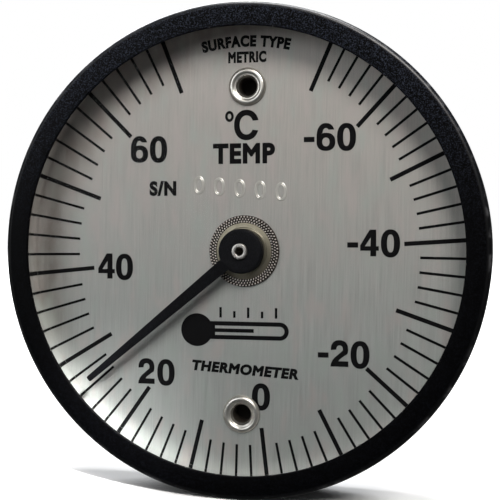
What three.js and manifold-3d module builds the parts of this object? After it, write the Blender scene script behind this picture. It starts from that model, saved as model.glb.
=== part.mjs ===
// Dial thermometer for steel surfaces: a round case with a glass front, a pointer turned by a bimetal coil,
// and two pot magnets that hold it by its back.
//
// Millimetres. Every piece is drawn in the dial's own frame: x to the right, y up, z from the back
// contact face towards the reader. The assembly group turns that frame upright, so that the
// thermometer hangs on a wall: it is read from -Y, and its back touches the plane y = 0.

import * as THREE from 'three';
import * as BufferGeometryUtils from 'three/addons/utils/BufferGeometryUtils.js';
import Module from 'manifold-3d';

// Driving dimensions

const CASE_RADIUS = 25.4;
const CASE_DEPTH = 9.5;
const CASE_WALL = 0.9;
const CASE_EDGE_ROUND = 0.5;
const LIP_THICKNESS = 0.35;
const LIP_WIDTH = 2.47;
const ROLLED_EDGE_WIDTH = 2.0;
const ROLLED_EDGE_THICKNESS = 0.4;
const BACK_RECESS = 0.3;

const GASKET_THICKNESS = 0.16;
const CRYSTAL_THICKNESS = 0.8;
const SPACER_WALL = 0.85;
const DIAL_THICKNESS = 0.5;
const BACK_PLATE_THICKNESS = 0.7;
const BACK_SEAL_THICKNESS = 0.16;

const BUSHING_FLANGE_RADIUS = 3.75;
const BUSHING_FLANGE_HEIGHT = 0.36;
const BUSHING_DISH_RADIUS = 3.0;
const BUSHING_DISH_DEPTH = 0.12;
const BUSHING_NECK_RADIUS = 1.9;
const BUSHING_NECK_LENGTH = 1.3;
const NUT_ACROSS_FLATS = 5.5;
const NUT_THICKNESS = 0.6;

const STAFF_RADIUS = 0.82;
const STAFF_BORE_RADIUS = 0.43;
const STAFF_TIP_ABOVE_HUB = 0.3;
const STAFF_TO_CRYSTAL = 0.06;

const HUB_RADIUS = 2.33;
const HUB_HEIGHT = 1.05;
const HUB_EDGE_ROUND = 0.28;
const HUB_ABOVE_BUSHING = 0.64;
const BLADE_TO_WALL = 1.85;
const BLADE_ROOT_WIDTH = 1.36;
const BLADE_TIP_WIDTH = 0.62;
const BLADE_THICKNESS = 0.3;
const POINTER_REST_ANGLE = 229.2; // clockwise from the top of the dial, in degrees

const MAGNET_CUP_RADIUS = 6.0;
const MAGNET_CUP_WALL = 1.0;
const MAGNET_CUP_FLOOR = 0.85;
const MAGNET_HOLE_RADIUS = 2.3;
const MAGNET_TO_EDGE = 0.2;

const EYELET_BORE_RADIUS = 0.94;
const EYELET_WALL = 0.28;
const EYELET_FLANGE_RADIUS = 1.86;
const EYELET_FLANGE_HEIGHT = 0.42;
const EYELET_REAR_FLANGE_RADIUS = 2.0;
const EYELET_REAR_FLANGE_HEIGHT = 0.35;
const SPACER_TUBE_RADIUS = 2.2;
const SPACER_TUBE_LENGTH = 0.91;

const SENSING_PLATE_MARGIN = 0.3;
const SENSING_PLATE_THICKNESS = 0.55;
const COIL_HOUSING_TO_MAGNET = 1.9;
const COIL_HOUSING_WALL = 0.35;
const COIL_HOUSING_TOP_HOLE = 4.0;
const COIL_COLLET_RADIUS = 1.7;
const COIL_STRIP_THICKNESS = 0.3;
const COIL_STRIP_HEIGHT = 1.7;
const COIL_INNER_RADIUS = 1.85;
const COIL_TO_FLOOR = 0.46;
const COIL_TURNS = 4;
const POST_WIDTH = 0.9;
const POST_ABOVE_COIL = 0.25;
const THRUST_WASHER_RADIUS = 1.6;
const THRUST_WASHER_THICKNESS = 0.2;
const REAR_BEARING_RADIUS = 1.6;
const REAR_BEARING_HEIGHT = 0.8;

// Clearances

const FACE_GAP = 0.02; // between faces that rest on each other
const SLIP_FIT = 0.05; // radial, between pieces that slide into each other
const RUNNING_FIT = 0.05; // radial, between the staff and its bearings
const FLOAT_GAP = 0.15; // along the axis, between turning and standing pieces
const SWEEP_GAP = 0.1; // between the coil and the pieces near it

// Facets around a full turn, by the size of what is round

const LARGE_ROUND = 60;
const MIDDLE_ROUND = 32;
const SMALL_ROUND = 20;
const COIL_STEPS_PER_TURN = 20;

// Heights above the back contact face, worked out from front to back

const lipBack = CASE_DEPTH - LIP_THICKNESS;
const gasketFront = lipBack - FACE_GAP;
const gasketBack = gasketFront - GASKET_THICKNESS;
const crystalFront = gasketBack - FACE_GAP;
const crystalBack = crystalFront - CRYSTAL_THICKNESS;
const staffFront = crystalBack - STAFF_TO_CRYSTAL;
const hubFront = staffFront - STAFF_TIP_ABOVE_HUB;
const hubBack = hubFront - HUB_HEIGHT;
const bushingFront = hubBack - HUB_ABOVE_BUSHING;
const bushingSeat = bushingFront - BUSHING_FLANGE_HEIGHT;
const dialFront = bushingSeat - FACE_GAP;
const dialBack = dialFront - DIAL_THICKNESS;
const rolledEdgeFront = BACK_RECESS + ROLLED_EDGE_THICKNESS;
const backSealBack = rolledEdgeFront + FACE_GAP;
const backSealFront = backSealBack + BACK_SEAL_THICKNESS;
const backPlateBack = backSealFront + FACE_GAP;
const backPlateFront = backPlateBack + BACK_PLATE_THICKNESS;

const bushingBack = dialBack - BUSHING_NECK_LENGTH;
const nutFront = dialBack - FACE_GAP;
const thrustWasherFront = bushingBack - FLOAT_GAP;
const thrustWasherBack = thrustWasherFront - THRUST_WASHER_THICKNESS;

const housingBack = SENSING_PLATE_THICKNESS + FACE_GAP;
const housingFloorFront = housingBack + COIL_HOUSING_WALL;
const bearingBack = housingFloorFront + FACE_GAP;
const bearingFront = bearingBack + REAR_BEARING_HEIGHT;
const bearingSocketBack = bearingBack + REAR_BEARING_HEIGHT / 2;
const staffBack = bearingSocketBack + FLOAT_GAP;
const colletBack = bearingFront + FLOAT_GAP;
const colletFront = thrustWasherBack - FACE_GAP;
const coilBack = housingFloorFront + COIL_TO_FLOOR;
const coilFront = coilBack + COIL_STRIP_HEIGHT;
const postBack = housingFloorFront + FACE_GAP;
const postFront = coilFront + POST_ABOVE_COIL;
const housingFront = postFront + SWEEP_GAP + COIL_HOUSING_WALL;

const tubeFront = dialBack - FACE_GAP;
const tubeBack = tubeFront - SPACER_TUBE_LENGTH;
const magnetCupFront = tubeBack - FACE_GAP;
const magnetFront = magnetCupFront - MAGNET_CUP_FLOOR - FACE_GAP;
const eyeletFlangeBack = dialFront + FACE_GAP;
const eyeletFlangeFront = eyeletFlangeBack + EYELET_FLANGE_HEIGHT;
const eyeletRearFlangeFront = magnetFront;
const eyeletRearFlangeBack = eyeletRearFlangeFront - EYELET_REAR_FLANGE_HEIGHT;

// Radii that follow from what fits inside what

const caseBore = CASE_RADIUS - CASE_WALL;
const lipRadius = CASE_RADIUS - LIP_WIDTH;
const insertRadius = caseBore - SLIP_FIT;
const spacerBore = insertRadius - SPACER_WALL;
const staffHoleRadius = STAFF_RADIUS + RUNNING_FIT;
const eyeletShankRadius = EYELET_BORE_RADIUS + EYELET_WALL;
const eyeletHoleRadius = eyeletShankRadius + SLIP_FIT;
const magnetRadius = MAGNET_CUP_RADIUS - MAGNET_CUP_WALL - SLIP_FIT;
const magnetOffset = CASE_RADIUS - ROLLED_EDGE_WIDTH - MAGNET_TO_EDGE - MAGNET_CUP_RADIUS;
const housingRadius = magnetOffset - MAGNET_CUP_RADIUS - COIL_HOUSING_TO_MAGNET;
const postRadius = POST_WIDTH / 2;
const postOffset = housingRadius - COIL_HOUSING_WALL - SWEEP_GAP - postRadius;
const coilOuterRadius = postOffset - postRadius - SWEEP_GAP;
const coilPitch = (coilOuterRadius - COIL_STRIP_THICKNESS - COIL_INNER_RADIUS) / COIL_TURNS;
const bladeLength = spacerBore - BLADE_TO_WALL;

// Materials

const finishes = {
  blackCase: { color: 0x17181c, roughness: 0.45, metalness: 0.1 },
  brightSteel: { color: 0xc9cbcc, roughness: 0.2, metalness: 1.0 },
  dialAluminium: { color: 0xa19c97, roughness: 0.4, metalness: 0.8 },
  plainAluminium: { color: 0xb4b5b6, roughness: 0.45, metalness: 0.9 },
  nickel: { color: 0xb9b2a3, roughness: 0.3, metalness: 1.0 },
  pointerBlack: { color: 0x141516, roughness: 0.6, metalness: 0.0 },
  glass: { color: 0xeef2f2, roughness: 0.05, metalness: 0.0, transparent: true, opacity: 0.2 },
  rubber: { color: 0x202020, roughness: 0.8, metalness: 0.0 },
  magnet: { color: 0x3a3a3c, roughness: 0.7, metalness: 0.3 },
  zincSteel: { color: 0x9fa3a6, roughness: 0.4, metalness: 1.0 },
  brass: { color: 0xb08d4c, roughness: 0.35, metalness: 1.0 },
  bimetal: { color: 0x8f8577, roughness: 0.4, metalness: 1.0 },
};

const wasm = await Module();
wasm.setup();

// Shapes

// A turned piece: the outline's [radius, height] points run anticlockwise around its material.
function turned(outline, segments, { closed = true } = {}) {
  const points = outline.map(([radius, height]) => new THREE.Vector2(radius, height));
  if (closed) points.push(points[0].clone());
  return new THREE.LatheGeometry(points, segments).rotateX(Math.PI / 2);
}

function ring(innerRadius, outerRadius, back, front, segments) {
  const outline = [[innerRadius, back], [outerRadius, back], [outerRadius, front], [innerRadius, front]];
  return turned(outline, segments);
}

function disc(radius, back, front, segments) {
  return turned([[0, back], [radius, back], [radius, front], [0, front]], segments, { closed: false });
}

// Corner points from an angle to another, so that an outline's edge is rounded.
function roundCorner(radius, height, size, fromDegrees, toDegrees, steps = 2) {
  const points = [];
  for (let i = 0; i <= steps; i += 1) {
    const angle = THREE.MathUtils.degToRad(fromDegrees + (toDegrees - fromDegrees) * (i / steps));
    points.push([radius + size * Math.cos(angle), height + size * Math.sin(angle)]);
  }
  return points;
}

// A regular outline whose corners fall where a turned piece of as many segments has its own.
function polygon(radius, segments, x = 0, y = 0) {
  const points = [];
  for (let i = 0; i < segments; i += 1) {
    const angle = (2 * Math.PI * i) / segments;
    points.push(new THREE.Vector2(x + radius * Math.cos(angle), y + radius * Math.sin(angle)));
  }
  return points;
}

function plate(outline, holes, back, front) {
  const shape = new THREE.Shape(outline);
  shape.holes = holes.map((hole) => new THREE.Path(hole));
  const geometry = new THREE.ExtrudeGeometry(shape, { depth: front - back, bevelEnabled: false });
  return geometry.translate(0, 0, back);
}

function toSolid(geometry) {
  const bare = geometry.clone();
  bare.deleteAttribute('normal');
  bare.deleteAttribute('uv');
  const merged = BufferGeometryUtils.mergeVertices(bare, 1e-5);
  const mesh = new wasm.Mesh({
    numProp: 3,
    vertProperties: new Float32Array(merged.attributes.position.array),
    triVerts: new Uint32Array(merged.index.array),
  });
  return new wasm.Manifold(mesh);
}

function toGeometry(solid) {
  const mesh = solid.getMesh();
  const geometry = new THREE.BufferGeometry();
  geometry.setAttribute('position', new THREE.BufferAttribute(mesh.vertProperties, mesh.numProp));
  geometry.setIndex(new THREE.BufferAttribute(mesh.triVerts, 1));
  geometry.computeVertexNormals();
  return geometry;
}

function joined(...geometries) {
  const solids = geometries.map(toSolid);
  return toGeometry(solids.reduce((whole, solid) => whole.add(solid)));
}

// The assembly

const group = new THREE.Group();
group.rotation.x = Math.PI / 2;

function addPiece(name, geometry, finish, { x = 0, y = 0, turn = 0 } = {}) {
  const mesh = new THREE.Mesh(geometry, new THREE.MeshStandardMaterial(finish));
  mesh.name = name;
  mesh.position.set(x, y, 0);
  mesh.rotation.z = turn;
  group.add(mesh);
}

// Case: a drawn ring with its lip turned in over the crystal and its rear edge rolled in behind the back.
function makeCase() {
  const corner = CASE_EDGE_ROUND;
  return turned([
    [CASE_RADIUS - ROLLED_EDGE_WIDTH, BACK_RECESS],
    ...roundCorner(CASE_RADIUS - corner, BACK_RECESS + corner, corner, -90, 0),
    ...roundCorner(CASE_RADIUS - corner, CASE_DEPTH - corner, corner, 0, 90),
    [lipRadius, CASE_DEPTH],
    [lipRadius, lipBack],
    [caseBore, lipBack],
    [caseBore, rolledEdgeFront],
    [CASE_RADIUS - ROLLED_EDGE_WIDTH, rolledEdgeFront],
  ], LARGE_ROUND);
}

addPiece('case', makeCase(), finishes.blackCase);
addPiece(
  'crystal_gasket',
  ring(spacerBore, insertRadius, gasketBack, gasketFront, LARGE_ROUND),
  finishes.rubber,
);
addPiece('crystal', disc(insertRadius, crystalBack, crystalFront, LARGE_ROUND), finishes.glass);
addPiece(
  'spacer_ring',
  ring(spacerBore, insertRadius, dialFront + FACE_GAP, crystalBack - FACE_GAP, LARGE_ROUND),
  finishes.brightSteel,
);

// Dial, back plate and the ring between them.
const magnetPlaces = { upper: magnetOffset, lower: -magnetOffset };

function dialHoles() {
  const eyeletHoles = Object.values(magnetPlaces).map((y) => polygon(eyeletHoleRadius, SMALL_ROUND, 0, y));
  return [polygon(BUSHING_NECK_RADIUS + SLIP_FIT, SMALL_ROUND), ...eyeletHoles];
}

function backPlateHoles() {
  const cupHoleRadius = MAGNET_CUP_RADIUS + SLIP_FIT;
  const cupHoles = Object.values(magnetPlaces).map((y) => polygon(cupHoleRadius, MIDDLE_ROUND, 0, y));
  return [polygon(housingRadius + SLIP_FIT, MIDDLE_ROUND), ...cupHoles];
}

addPiece(
  'dial_plate',
  plate(polygon(insertRadius, LARGE_ROUND), dialHoles(), dialBack, dialFront),
  finishes.dialAluminium,
);
addPiece(
  'rear_spacer_ring',
  ring(spacerBore, insertRadius, backPlateFront + FACE_GAP, dialBack - FACE_GAP, LARGE_ROUND),
  finishes.plainAluminium,
);
addPiece(
  'back_plate',
  plate(polygon(insertRadius, LARGE_ROUND), backPlateHoles(), backPlateBack, backPlateFront),
  finishes.plainAluminium,
);
addPiece(
  'back_seal',
  ring(spacerBore, insertRadius, backSealBack, backSealFront, LARGE_ROUND),
  finishes.rubber,
);

// Centre bushing: a dished flange on the dial, and a neck through it that takes a nut.
function makeBushing() {
  return turned([
    [staffHoleRadius, bushingBack],
    [BUSHING_NECK_RADIUS, bushingBack],
    [BUSHING_NECK_RADIUS, bushingSeat],
    [BUSHING_FLANGE_RADIUS, bushingSeat],
    [BUSHING_FLANGE_RADIUS, bushingFront],
    [BUSHING_DISH_RADIUS, bushingFront],
    [BUSHING_NECK_RADIUS, bushingFront - BUSHING_DISH_DEPTH],
    [staffHoleRadius, bushingFront - BUSHING_DISH_DEPTH],
  ], SMALL_ROUND * 2);
}

function makeNut() {
  const hexagon = polygon(NUT_ACROSS_FLATS / 2 / Math.cos(Math.PI / 6), 6);
  const hole = polygon(BUSHING_NECK_RADIUS + SLIP_FIT, SMALL_ROUND * 2);
  return plate(hexagon, [hole], nutFront - NUT_THICKNESS, nutFront);
}

addPiece('center_bushing', makeBushing(), finishes.nickel);
addPiece('bushing_nut', makeNut(), finishes.brass);

// Eyelet: a rolled flange on the dial, a hollow shank, and a rear flange behind the magnet cup's floor.
function makeEyelet() {
  const roll = EYELET_FLANGE_HEIGHT / 2;
  return turned([
    [EYELET_BORE_RADIUS, eyeletRearFlangeBack],
    [EYELET_REAR_FLANGE_RADIUS, eyeletRearFlangeBack],
    [EYELET_REAR_FLANGE_RADIUS, eyeletRearFlangeFront],
    [eyeletShankRadius, eyeletRearFlangeFront],
    [eyeletShankRadius, eyeletFlangeBack],
    [EYELET_FLANGE_RADIUS, eyeletFlangeBack],
    ...roundCorner(EYELET_FLANGE_RADIUS - roll, eyeletFlangeFront - roll, roll, 0, 90),
    [EYELET_BORE_RADIUS + roll, eyeletFlangeFront],
    [EYELET_BORE_RADIUS, eyeletFlangeFront - roll],
  ], SMALL_ROUND);
}

// Magnet cup: a steel pot, open at the back, with a hole for the eyelet in its floor.
function makeMagnetCup() {
  const wallRadius = MAGNET_CUP_RADIUS - MAGNET_CUP_WALL;
  const floorBack = magnetCupFront - MAGNET_CUP_FLOOR;
  return turned([
    [wallRadius, 0],
    [MAGNET_CUP_RADIUS, 0],
    [MAGNET_CUP_RADIUS, magnetCupFront],
    [eyeletHoleRadius, magnetCupFront],
    [eyeletHoleRadius, floorBack],
    [wallRadius, floorBack],
  ], MIDDLE_ROUND);
}

for (const [side, y] of Object.entries(magnetPlaces)) {
  const tube = ring(eyeletHoleRadius, SPACER_TUBE_RADIUS, tubeBack, tubeFront, SMALL_ROUND);
  const magnet = ring(MAGNET_HOLE_RADIUS, magnetRadius, 0, magnetFront, MIDDLE_ROUND);
  addPiece(`${side}_eyelet`, makeEyelet(), finishes.brightSteel, { y });
  addPiece(`${side}_spacer_tube`, tube, finishes.zincSteel, { y });
  addPiece(`${side}_magnet_cup`, makeMagnetCup(), finishes.zincSteel, { y });
  addPiece(`${side}_magnet`, magnet, finishes.magnet, { y });
}

// Sensing group at the back: the plate that touches the measured surface, and the coil's housing on it.
function makeCoilHousing() {
  const wallRadius = housingRadius - COIL_HOUSING_WALL;
  return turned([
    [0, housingBack],
    [housingRadius, housingBack],
    [housingRadius, housingFront],
    [COIL_HOUSING_TOP_HOLE, housingFront],
    [COIL_HOUSING_TOP_HOLE, housingFront - COIL_HOUSING_WALL],
    [wallRadius, housingFront - COIL_HOUSING_WALL],
    [wallRadius, housingFloorFront],
    [0, housingFloorFront],
  ], MIDDLE_ROUND, { closed: false });
}

function makeRearBearing() {
  return turned([
    [0, bearingBack],
    [REAR_BEARING_RADIUS, bearingBack],
    [REAR_BEARING_RADIUS, bearingFront],
    [staffHoleRadius, bearingFront],
    [staffHoleRadius, bearingSocketBack],
    [0, bearingSocketBack],
  ], SMALL_ROUND, { closed: false });
}

// A flat spiral strip, wound from the collet outwards.
function makeCoil() {
  const inner = [];
  const outer = [];
  const steps = COIL_TURNS * COIL_STEPS_PER_TURN;
  for (let i = 0; i <= steps; i += 1) {
    const angle = (2 * Math.PI * i) / COIL_STEPS_PER_TURN;
    const radius = COIL_INNER_RADIUS + (coilPitch * i) / COIL_STEPS_PER_TURN;
    const direction = new THREE.Vector2(Math.cos(angle), Math.sin(angle));
    inner.push(direction.clone().multiplyScalar(radius));
    outer.push(direction.clone().multiplyScalar(radius + COIL_STRIP_THICKNESS));
  }
  return plate([...outer, ...inner.reverse()], [], coilBack, coilFront);
}

function makeAnchorPost() {
  return plate(polygon(postRadius, SMALL_ROUND, postOffset), [], postBack, postFront);
}

addPiece(
  'sensing_plate',
  disc(housingRadius + SENSING_PLATE_MARGIN, 0, SENSING_PLATE_THICKNESS, MIDDLE_ROUND),
  finishes.plainAluminium,
);
addPiece('coil_housing', makeCoilHousing(), finishes.zincSteel);
addPiece('rear_bearing', makeRearBearing(), finishes.brass);
addPiece('bimetal_coil', makeCoil(), finishes.bimetal);
addPiece('coil_anchor_post', makeAnchorPost(), finishes.brass);

// Turning group: staff, collet, washer and pointer.
function makePointer() {
  const corner = HUB_EDGE_ROUND;
  const hub = turned([
    [STAFF_RADIUS + FACE_GAP, hubBack],
    [HUB_RADIUS, hubBack],
    ...roundCorner(HUB_RADIUS - corner, hubFront - corner, corner, 0, 90),
    [STAFF_RADIUS + FACE_GAP, hubFront],
  ], SMALL_ROUND * 2);
  const root = HUB_RADIUS - BLADE_ROOT_WIDTH / 2;
  const blade = plate([
    new THREE.Vector2(-BLADE_ROOT_WIDTH / 2, root),
    new THREE.Vector2(BLADE_ROOT_WIDTH / 2, root),
    new THREE.Vector2(BLADE_TIP_WIDTH / 2, bladeLength),
    new THREE.Vector2(-BLADE_TIP_WIDTH / 2, bladeLength),
  ], [], hubFront - FACE_GAP - BLADE_THICKNESS, hubFront - FACE_GAP);
  return joined(hub, blade);
}

addPiece(
  'staff',
  ring(STAFF_BORE_RADIUS, STAFF_RADIUS, staffBack, staffFront, SMALL_ROUND),
  finishes.brightSteel,
);
addPiece(
  'thrust_washer',
  ring(STAFF_RADIUS + FACE_GAP, THRUST_WASHER_RADIUS, thrustWasherBack, thrustWasherFront, SMALL_ROUND),
  finishes.brass,
);
addPiece(
  'coil_collet',
  ring(STAFF_RADIUS + FACE_GAP, COIL_COLLET_RADIUS, colletBack, colletFront, SMALL_ROUND),
  finishes.brass,
);
addPiece('pointer', makePointer(), finishes.pointerBlack, {
  turn: -THREE.MathUtils.degToRad(POINTER_REST_ANGLE),
});

export default group;
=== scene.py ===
# %% [markdown]
# # A surface thermometer with a dial
# This thermometer is a shallow black case, about two inches across, that two magnets hold on a steel
# surface. A coil behind the dial turns a staff, and the staff carries the pointer. The CAD model
# already has every part in its place, so this lesson only gives the parts their looks. The model is
# loaded first and is never moved: whatever is built here is measured from it.

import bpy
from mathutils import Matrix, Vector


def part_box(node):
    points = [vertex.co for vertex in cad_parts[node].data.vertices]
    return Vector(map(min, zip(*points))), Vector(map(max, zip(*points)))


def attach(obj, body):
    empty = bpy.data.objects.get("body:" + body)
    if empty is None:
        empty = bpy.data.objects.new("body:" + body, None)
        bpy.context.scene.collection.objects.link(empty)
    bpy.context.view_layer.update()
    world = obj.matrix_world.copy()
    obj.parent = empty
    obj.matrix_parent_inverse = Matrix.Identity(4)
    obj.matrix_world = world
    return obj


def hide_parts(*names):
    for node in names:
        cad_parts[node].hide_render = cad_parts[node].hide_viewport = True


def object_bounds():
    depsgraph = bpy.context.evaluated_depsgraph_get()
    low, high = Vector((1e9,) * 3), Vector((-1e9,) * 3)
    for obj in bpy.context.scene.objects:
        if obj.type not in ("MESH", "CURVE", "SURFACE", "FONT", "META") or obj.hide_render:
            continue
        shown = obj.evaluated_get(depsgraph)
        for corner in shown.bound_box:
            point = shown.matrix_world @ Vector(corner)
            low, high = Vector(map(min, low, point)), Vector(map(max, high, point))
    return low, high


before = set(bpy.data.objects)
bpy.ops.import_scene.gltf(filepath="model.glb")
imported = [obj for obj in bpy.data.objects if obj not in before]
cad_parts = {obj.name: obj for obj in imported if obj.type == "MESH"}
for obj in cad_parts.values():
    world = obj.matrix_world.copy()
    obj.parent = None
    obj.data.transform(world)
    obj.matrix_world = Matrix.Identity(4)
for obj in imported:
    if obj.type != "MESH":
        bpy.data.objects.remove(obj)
cad_low, cad_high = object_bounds()
print("the model's box", [round(side * 1000, 2) for side in cad_high - cad_low], "mm")

# %% [markdown]
# ## Drawing on the face
# A maker of dials thinks in millimetres on the face: x to the right, y up, and a height towards the
# reader. The frame has the dial upright, read from -Y, so one small function turns the first into the
# second. A second function reads a part's own sizes back from the model, which keeps every new piece
# in the seat that was made for it.

# %% Millimetres on the face
import math
from collections import namedtuple

import bmesh
import bpy
from mathutils import Matrix, Vector

MM = 0.001


def at(x, y, height):
    """A point of the face in millimetres, as a point of the frame in metres."""
    return Vector((x, -height, y)) * MM


FACE_TO_FRAME = Matrix.Rotation(math.radians(90), 4, "X") @ Matrix.Scale(MM, 4)
Seat = namedtuple("Seat", "x y back front inner outer")


def seat(node, above=-1.0, below=100.0):
    """Where a round part sits: its axis, its two faces, and its radii between two heights."""
    low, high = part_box(node)
    x, y = (low.x + high.x) / 2 / MM, (low.z + high.z) / 2 / MM
    corners = [v.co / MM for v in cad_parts[node].data.vertices]
    radii = [math.hypot(c.x - x, c.z - y) for c in corners if above <= -c.y <= below]
    return Seat(x, y, -high.y / MM, -low.y / MM, min(radii), max(radii))


case = seat("case")
dial = seat("dial_plate")
crystal = seat("crystal")
print(f"case {case.outer * 2:.1f} mm across and {case.front:.1f} mm deep")
print(f"dial face at {dial.front:.2f} mm")

# %% [markdown]
# ## The camera
# The dial is looked at from a little to its right and from very slightly above, from close by. It
# hangs about a degree off true, so the camera is rolled by that much instead of the dial. A fairly
# long lens near the object gives the right amount of wall inside the rim.

# %% Set the camera
LENS = 75.22
FROM_THE_RIGHT = math.radians(13.44)
FROM_ABOVE = math.radians(1.57)
ROLL = math.radians(1.05)
DISTANCE = 109.744
AIM_RIGHT, AIM_UP = 0.582, 0.103

back = Vector((
    math.sin(FROM_THE_RIGHT) * math.cos(FROM_ABOVE),
    -math.cos(FROM_THE_RIGHT) * math.cos(FROM_ABOVE),
    math.sin(FROM_ABOVE),
))
turn = back.to_track_quat("Z", "Y").to_matrix() @ Matrix.Rotation(ROLL, 3, "Z")
right, up = turn.col[0], turn.col[1]
camera = bpy.data.objects.new("camera", bpy.data.cameras.new("camera"))
camera.data.lens = LENS
camera.data.sensor_width = 36
camera.data.clip_start, camera.data.clip_end = 0.005, 20
camera.location = at(0, 0, dial.front) + (right * AIM_RIGHT + up * AIM_UP + back * DISTANCE) * MM
camera.rotation_euler = turn.to_euler()
bpy.context.scene.collection.objects.link(camera)
bpy.context.scene.camera = camera
print("camera at", [round(c / MM, 1) for c in camera.location], "mm")

# %% [markdown]
# ## Light, floor and surroundings
# The object stands on a plain pale floor in a plain room. A soft key lamp in front, above and to the
# right throws the lip's shadow on the top of the dial and the pointer's soft shadow. A weak lamp on the
# left softens both, and one behind gives the case an edge when it is seen from the back. A small
# focused lamp brightens the dial at the lower left, near the wall. A broad sun straight above keeps the
# floor white as far as it goes. The room sends little light to the object, because black satin and
# black ink look grey when a white room is reflected in the glass. It is white only where the camera
# looks straight at it.

# %% One class for every graph of nodes


class Wire:
    """An output of a node, with the sums that are done on it."""

    def __init__(self, graph, socket):
        self.graph, self.socket = graph, socket

    def sum(self, operation, *parts):
        return self.graph.add("ShaderNodeMath", {"operation": operation}, dict(enumerate(parts)))

    def __add__(self, other):
        return self.sum("ADD", self, other)

    def __sub__(self, other):
        return self.sum("SUBTRACT", self, other)

    def __rsub__(self, other):
        return self.sum("SUBTRACT", other, self)

    def __mul__(self, other):
        return self.sum("MULTIPLY", self, other)

    def __truediv__(self, other):
        return self.sum("DIVIDE", self, other)

    __radd__, __rmul__ = __add__, __mul__


class Graph:
    """A tree of nodes, built by naming a node's type, its settings, and what goes into it."""

    def __init__(self, tree):
        self.tree = tree

    def add(self, kind, settings=None, inputs=None, output=0):
        node = self.tree.nodes.new(kind)
        for name, value in (settings or {}).items():
            setattr(node, name, value)
        for name, value in (inputs or {}).items():
            if isinstance(value, Wire):
                self.tree.links.new(value.socket, node.inputs[name])
            else:
                node.inputs[name].default_value = value
        return Wire(self, node.outputs[output]) if len(node.outputs) else node


# %% Light the room
ROOM_LIGHT = 0.07
DAYLIGHT_COLOUR = (0.97, 0.985, 1.0)
scene = bpy.context.scene
scene.view_settings.view_transform = "Standard"
scene.world = bpy.data.worlds.new("room")
scene.world.use_nodes = True
scene.world.node_tree.nodes.clear()
room = Graph(scene.world.node_tree)
dim = room.add("ShaderNodeBackground", None, {"Color": (0.96, 0.98, 1.0, 1), "Strength": ROOM_LIGHT})
white = room.add("ShaderNodeBackground", None, {"Color": (1, 1, 1, 1), "Strength": 1.0})
seen = room.add("ShaderNodeLightPath", None, None, "Is Camera Ray")
mixed = room.add("ShaderNodeMixShader", None, {0: seen, 1: dim, 2: white})
room.add("ShaderNodeOutputWorld", None, {"Surface": mixed})


def hung(lamp, location, away):
    """Puts a lamp at a place, shining against the direction away."""
    obj = bpy.data.objects.new(lamp.name, lamp)
    obj.location = location
    obj.rotation_euler = away.to_track_quat("Z", "Y").to_euler()
    scene.collection.objects.link(obj)
    print(f"{lamp.name}: {lamp.energy:.2f}")


def softbox(name, size, distance, from_right, elevation, brightness, tint):
    """A square lamp that faces the dial, as bright as asked per square metre."""
    lamp = bpy.data.lights.new(name, "AREA")
    lamp.size = size
    lamp.color = tint
    lamp.energy = math.pi * brightness * size * size
    turned_by, raised_by = math.radians(from_right), math.radians(elevation)
    away = Vector((
        math.sin(turned_by) * math.cos(raised_by),
        -math.cos(turned_by) * math.cos(raised_by),
        math.sin(raised_by),
    ))
    hung(lamp, at(0, 0, dial.front) + away * distance, away)


softbox("key_light", 0.15, 0.36, 22, 40, 13.0, (1.0, 0.96, 0.92))
softbox("side_light", 0.20, 0.36, -32, 14, 1.9, DAYLIGHT_COLOUR)
softbox("rear_light", 0.4, 0.6, 205, 35, 7.0, DAYLIGHT_COLOUR)

# %% Brighten the lower left of the dial
RIM_LAMP_WATTS, RIM_LAMP_SIZE, RIM_BEAM = 8.5, 0.004, math.radians(4.6)
rim_lamp_place = at(110, 200, 250)
rim_lamp_target = at(-18.6, -27.4, dial.front)
rim_lamp = bpy.data.lights.new("rim_light", "SPOT")
rim_lamp.energy, rim_lamp.shadow_soft_size = RIM_LAMP_WATTS, RIM_LAMP_SIZE
rim_lamp.spot_size, rim_lamp.spot_blend = RIM_BEAM, 1.0
hung(rim_lamp, rim_lamp_place, rim_lamp_place - rim_lamp_target)

# %% Light the floor from above
SUN_STRENGTH, SUN_WIDTH, SUN_TILT = 3.6, math.radians(35), math.radians(4)
daylight = bpy.data.lights.new("overhead_light", "SUN")
daylight.energy, daylight.angle = SUN_STRENGTH, SUN_WIDTH
overhead = bpy.data.objects.new("overhead_light", daylight)
overhead.rotation_euler = (SUN_TILT, 0, 0)
scene.collection.objects.link(overhead)

# %% Lay the floor
FLOOR_SIZE = 12.0
FLOOR_GAP = 0.02 * MM
floor_height = cad_low.z - FLOOR_GAP
edge = FLOOR_SIZE / 2
floor_mesh = bpy.data.meshes.new("floor")
floor_corners = [(-edge, -edge), (edge, -edge), (edge, edge), (-edge, edge)]
floor_mesh.from_pydata([(x, y, floor_height) for x, y in floor_corners], [], [(0, 1, 2, 3)])
floor = bpy.data.objects.new("floor", floor_mesh)
scene.collection.objects.link(floor)

# %% [markdown]
# ## Finishes
# No part here is one flat colour. Painted metal has a fine orange peel, drawn metal has streaks,
# turned metal has rings, and some hollows are darker, the eyelet holes with painted shade. Each finish
# reads the part's own coordinates in metres, so noise is asked for by the size of its grain in
# millimetres along each way of the frame: across, through, and up.

# %% A finish and its helpers


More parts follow.
